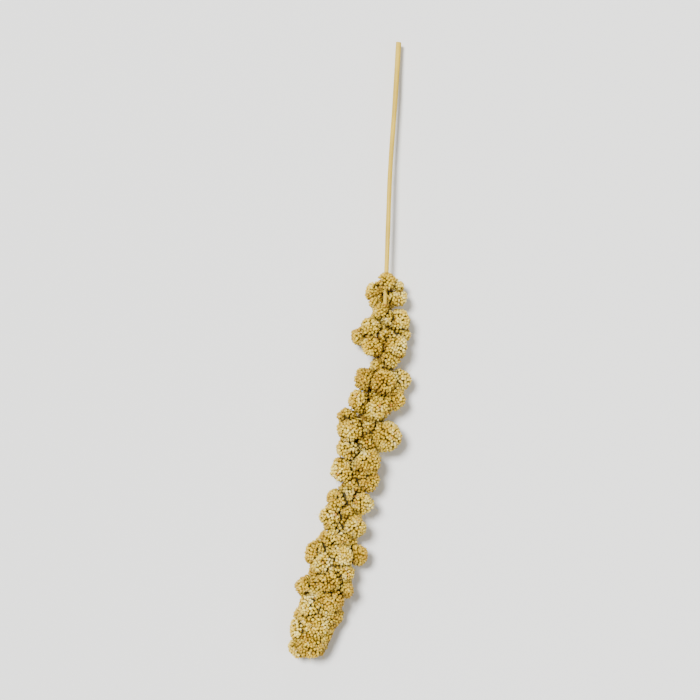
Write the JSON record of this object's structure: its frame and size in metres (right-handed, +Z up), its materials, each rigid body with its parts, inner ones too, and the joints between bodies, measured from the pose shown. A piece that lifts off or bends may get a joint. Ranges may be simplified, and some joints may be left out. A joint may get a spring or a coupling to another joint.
{
  "type": "millet seed head",
  "caption": "Spray of foxtail millet with its cut stem, lying flat: loose round lobes of grain near the stem that close up into a dense head with a blunt tip.",
  "frame": {"origin": "centre of the bounding box's base, on the surface that the spray lies on", "axes": "+Z up from the surface, +Y along the spray from the head's tip toward the cut end of the stem, +X across it to the right as the picture shows it"},
  "size_m": [0.0536, 0.2708, 0.0214],
  "materials": {
    "grain_gold": "dry husked grain, satin",
    "stem_straw": "dry straw, satin"
  },
  "bodies": {
    "root": {"seed_head": "grain_gold", "stem": "stem_straw"}
  },
  "joints": []
}
